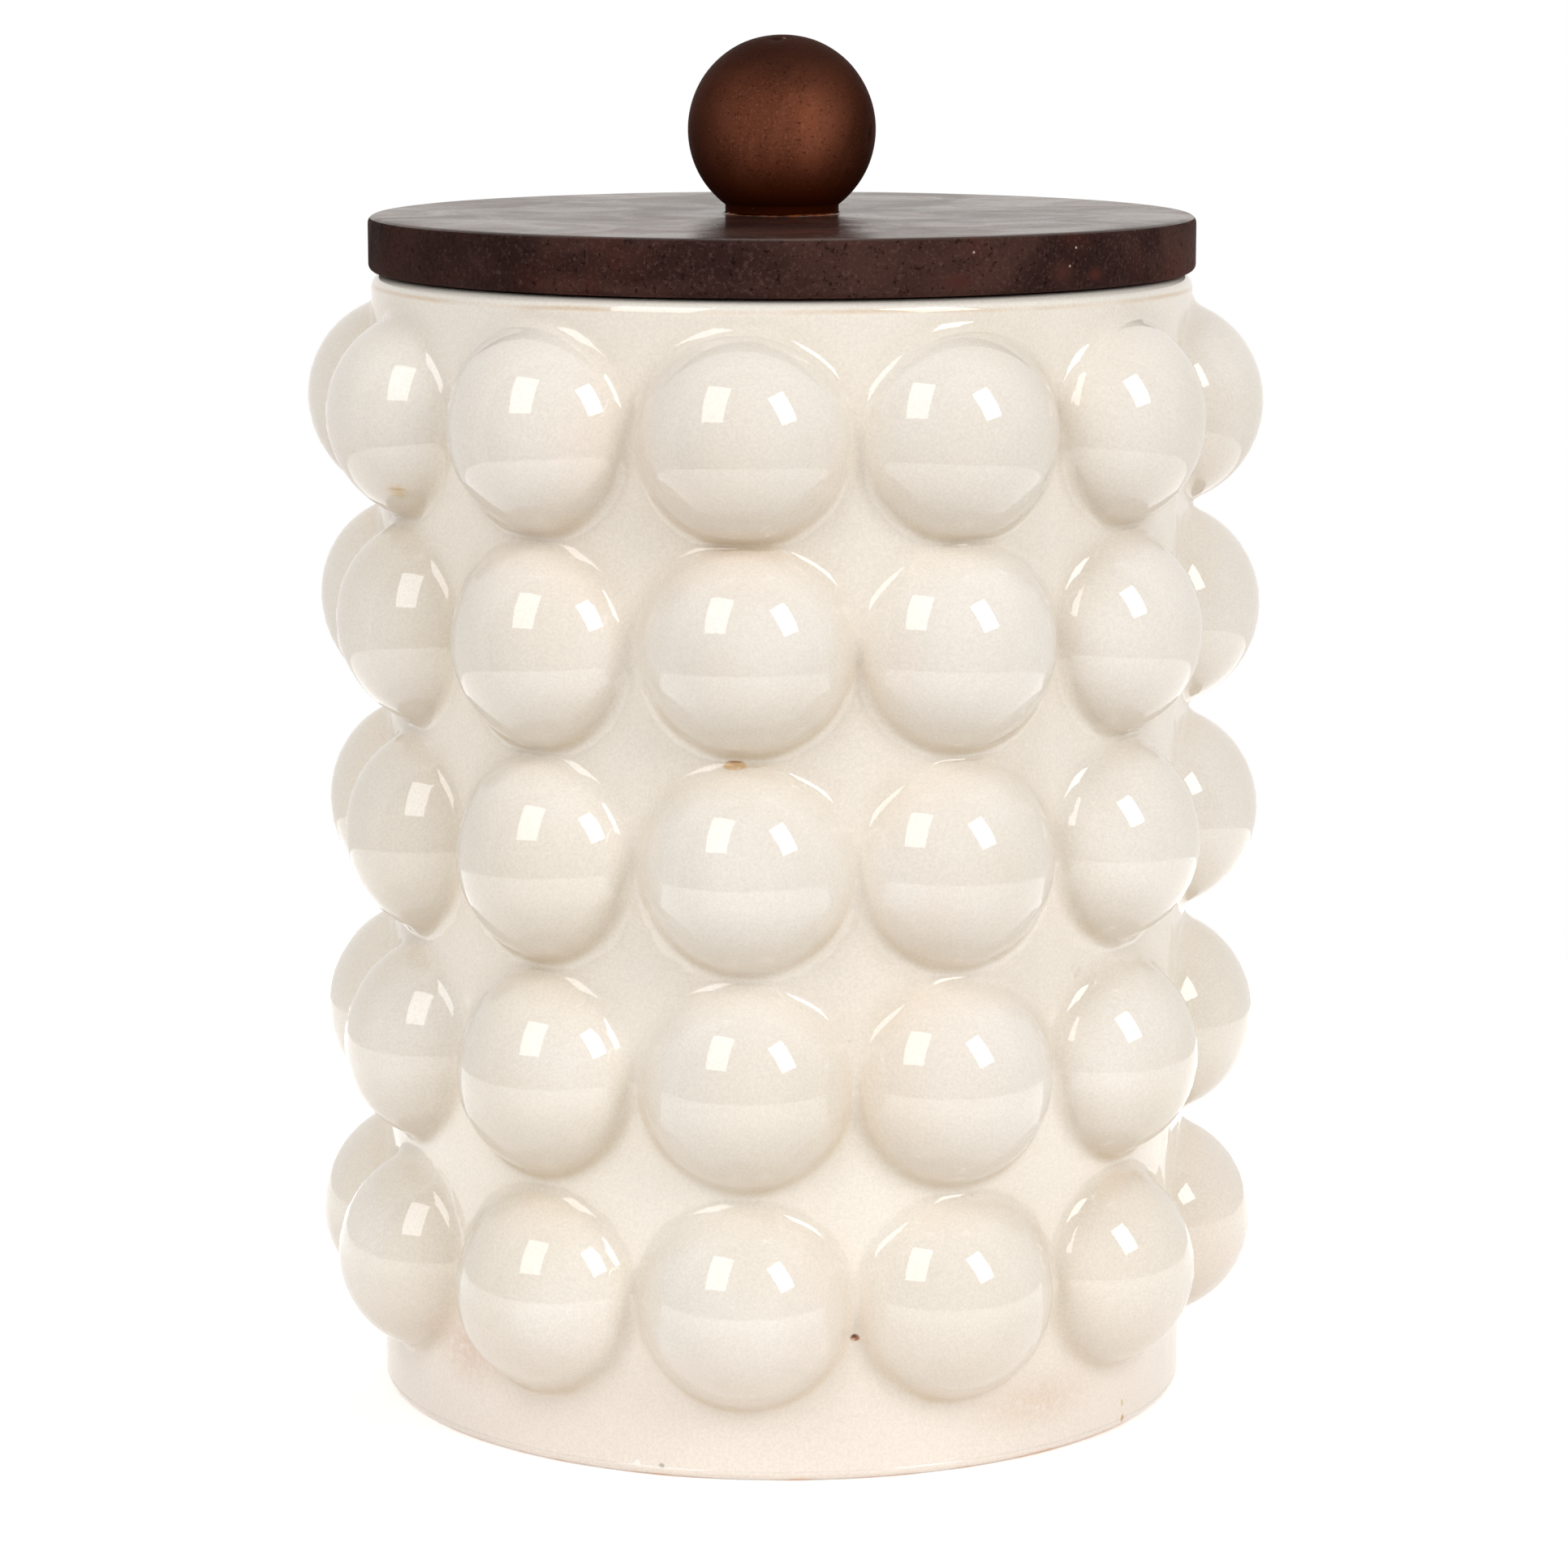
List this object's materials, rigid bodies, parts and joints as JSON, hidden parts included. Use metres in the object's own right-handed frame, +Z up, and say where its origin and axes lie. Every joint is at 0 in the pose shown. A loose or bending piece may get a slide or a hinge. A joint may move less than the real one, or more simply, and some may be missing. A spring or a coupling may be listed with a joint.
{
  "type": "lidded storage jar",
  "caption": "Round glazed stoneware storage jar covered in rows of domed bosses, with a flat dark wooden lid that lifts off by a ball knob and seals with a soft ring.",
  "frame": {"origin": "centre of the foot ring's underside, where the jar stands", "axes": "+Z up along the jar's axis; -Y is the front, towards the viewer of the picture"},
  "size_m": [0.154, 0.154, 0.2179],
  "materials": {
    "glazed_stoneware": "glossy warm ivory glaze",
    "stained_wood": "dark plum-brown stained wood, satin",
    "clear_silicone": "translucent soft silicone",
    "knob_wood": "dark red-brown stained turned wood, satin",
    "hard_glue": "amber hardened glue",
    "screw_steel": "zinc-plated steel"
  },
  "bodies": {
    "jar": {"jar_body": "glazed_stoneware"},
    "seal": {"seal_ring": "clear_silicone"},
    "lid": {"lid_disc": "stained_wood", "lid_plug": "stained_wood", "knob_ball": "knob_wood", "knob_glue_bead": "hard_glue", "knob_screw": "screw_steel"}
  },
  "joints": [
    {"name": "lid_lift", "type": "slide", "parent": "jar", "child": "seal", "axis": [0, 0, 1], "range_m": [0, 0.12]},
    {"name": "lid_turn", "type": "hinge", "parent": "seal", "child": "lid", "pos_m": [0, 0, 0.1808], "axis": [0, 0, 1], "continuous": true}
  ]
}
